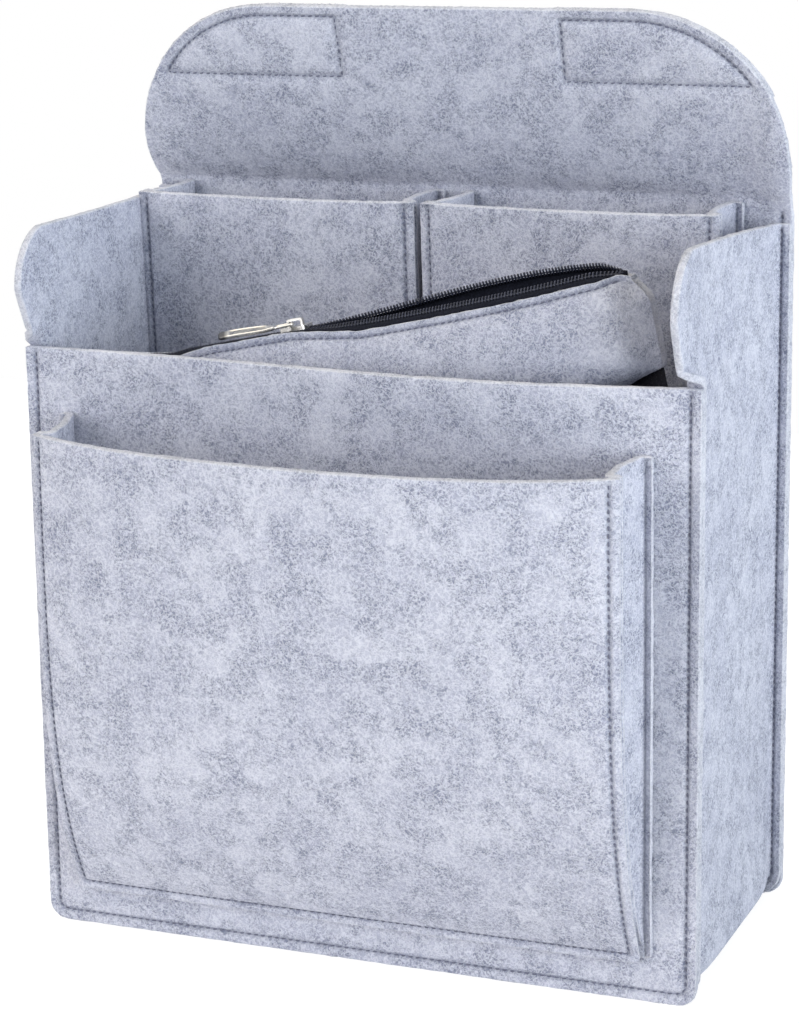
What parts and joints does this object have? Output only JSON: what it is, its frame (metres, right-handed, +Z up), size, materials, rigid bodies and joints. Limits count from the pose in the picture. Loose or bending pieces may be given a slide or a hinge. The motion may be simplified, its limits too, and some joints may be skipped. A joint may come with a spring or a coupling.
{
  "type": "backpack organizer insert",
  "caption": "Open felt box with a tall rounded flap, bellows pockets in front and inside, and a loose zip pouch, which keeps small things in order inside a backpack.",
  "frame": {"origin": "on the floor, under the middle of the whole part's box", "axes": "+Z up, +Y from the front pocket to the back panel, +X to the right seen from the front"},
  "size_m": [0.267, 0.1738, 0.3504],
  "materials": {
    "felt": "pressed heathered felt, matt and slightly hairy",
    "hook_tape": "black hook tape with nylon hooks",
    "zipper_tape": "black woven tape",
    "zipper_coil": "black nylon coil, slightly glossy",
    "nickel": "nickel-plated die-cast metal"
  },
  "bodies": {
    "organizer": {"back_panel": "felt", "front_panel": "felt", "side_gusset": "felt", "flap_patch_left": "felt", "flap_patch_right": "felt", "front_pocket_gusset_left": "felt", "front_pocket_gusset_right": "felt", "inner_pocket_left_gusset_outer": "felt", "inner_pocket_left_gusset_inner": "felt", "inner_pocket_right_gusset_outer": "felt", "inner_pocket_right_gusset_inner": "felt"},
    "front_pocket": {"front_pocket_panel": "felt"},
    "inner_pocket_left": {"inner_pocket_left_panel": "felt"},
    "inner_pocket_right": {"inner_pocket_right_panel": "felt"},
    "pouch": {"pouch_front": "felt", "pouch_back": "felt", "pouch_hook_strip": "hook_tape", "zipper_tape_front": "zipper_tape", "zipper_tape_back": "zipper_tape", "zipper_teeth_front": "zipper_coil", "zipper_teeth_back": "zipper_coil"},
    "zip_slider": {"zipper_slider": "nickel"},
    "zip_pull": {"zipper_pull": "nickel"}
  },
  "joints": [
    {"name": "front_pocket_close", "type": "hinge", "parent": "organizer", "child": "front_pocket", "pos_m": [0, -0.03595, 0.0205], "axis": [-1, 0, 0], "range_deg": [0, 10], "deforming": ["front_pocket_gusset_left", "front_pocket_gusset_right"]},
    {"name": "inner_pocket_left_close", "type": "hinge", "parent": "organizer", "child": "inner_pocket_left", "pos_m": [-0.0645, 0.08365, 0.081], "axis": [-1, 0, 0], "range_deg": [0, 9], "deforming": ["inner_pocket_left_gusset_outer", "inner_pocket_left_gusset_inner"]},
    {"name": "inner_pocket_right_close", "type": "hinge", "parent": "organizer", "child": "inner_pocket_right", "pos_m": [0.0565, 0.08365, 0.081], "axis": [-1, 0, 0], "range_deg": [0, 9], "deforming": ["inner_pocket_right_gusset_outer", "inner_pocket_right_gusset_inner"]},
    {"name": "pouch_lift", "type": "slide", "parent": "organizer", "child": "pouch", "axis": [0, 0, 1], "range_m": [0, 0.25]},
    {"name": "zip_run", "type": "slide", "parent": "pouch", "child": "zip_slider", "axis": [0.9767, 0, 0.2147], "range_m": [-0.036, 0.11], "deforming": ["zipper_tape_front", "zipper_tape_back", "zipper_teeth_front", "zipper_teeth_back"]},
    {"name": "pull_turn", "type": "hinge", "parent": "zip_slider", "child": "zip_pull", "pos_m": [-0.03052, -0.01548, 0.23959], "axis": [-0.2031, 0.9781, -0.0446], "range_deg": [0, 165]}
  ]
}
